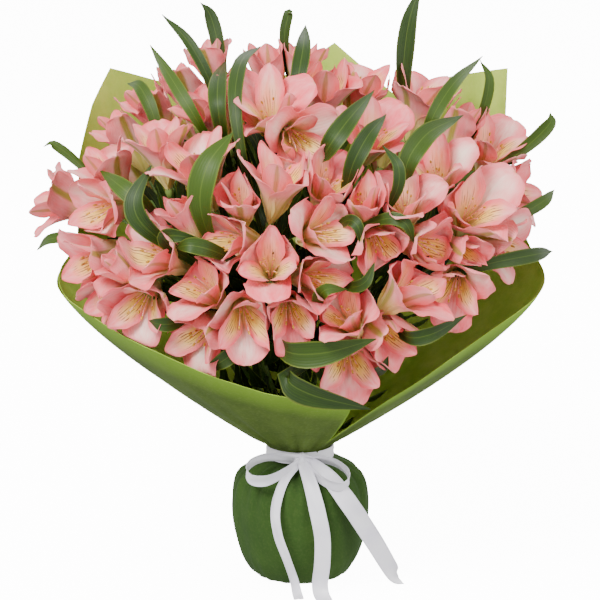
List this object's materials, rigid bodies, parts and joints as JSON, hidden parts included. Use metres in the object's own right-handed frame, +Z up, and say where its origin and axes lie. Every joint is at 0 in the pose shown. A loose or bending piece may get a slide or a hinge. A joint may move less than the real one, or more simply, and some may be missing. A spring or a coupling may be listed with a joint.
{
  "type": "alstroemeria bouquet",
  "caption": "Hand-tied bouquet of pink alstroemeria stems with leaves, in a flared green paper wrap gathered over a rounded foot and tied with a white satin ribbon.",
  "frame": {"origin": "centre of the flat underside of the wrapped foot that the bouquet stands on", "axes": "+Z up along the bouquet's axis, through the tie; -Y towards the lower front of the wrap, where the bow is; +X to the right of a viewer who faces the bow"},
  "size_m": [0.4697, 0.3268, 0.5256],
  "materials": {
    "petals": "soft satin petals, coral pink with darker edges, cream throats and yellow streaked inner petals",
    "greenery": "matte leaf green",
    "wrap_paper": "matte fibrous olive green paper, paler inside",
    "foot_paper": "matte fibrous darker green paper",
    "ribbon": "white satin",
    "twine": "natural twine"
  },
  "bodies": {
    "root": {"foot_wrap": "foot_paper", "wrap_back": "wrap_paper", "wrap_front": "wrap_paper", "ribbon": "ribbon", "binding_twine": "twine", "stem_far_left": "greenery", "stem_upper_left": "greenery", "stem_top_left": "greenery", "stem_left_middle": "greenery", "stem_upper_middle": "greenery", "stem_lower_left": "greenery", "stem_low_left_middle": "greenery", "stem_centre": "greenery", "stem_top_middle": "greenery", "stem_top_right_middle": "greenery", "stem_right_middle": "greenery", "stem_middle_right": "greenery", "stem_top_right": "greenery", "stem_far_right": "greenery", "stem_right_star": "greenery", "stem_lower_right": "greenery", "stem_low_front": "greenery", "stem_back_left": "greenery", "stem_back_middle": "greenery", "stem_back_right": "greenery", "umbel_far_left": "petals", "umbel_upper_left": "petals", "umbel_top_left": "petals", "umbel_left_middle": "petals", "umbel_upper_middle": "petals", "umbel_lower_left": "petals", "umbel_low_left_middle": "petals", "umbel_centre": "petals", "umbel_top_middle": "petals", "umbel_top_right_middle": "petals", "umbel_right_middle": "petals", "umbel_middle_right": "petals", "umbel_top_right": "petals", "umbel_far_right": "petals", "umbel_right_star": "petals", "umbel_lower_right": "petals", "umbel_low_front": "petals", "umbel_back_left": "petals", "umbel_back_middle": "petals", "umbel_back_right": "petals"}
  },
  "joints": []
}
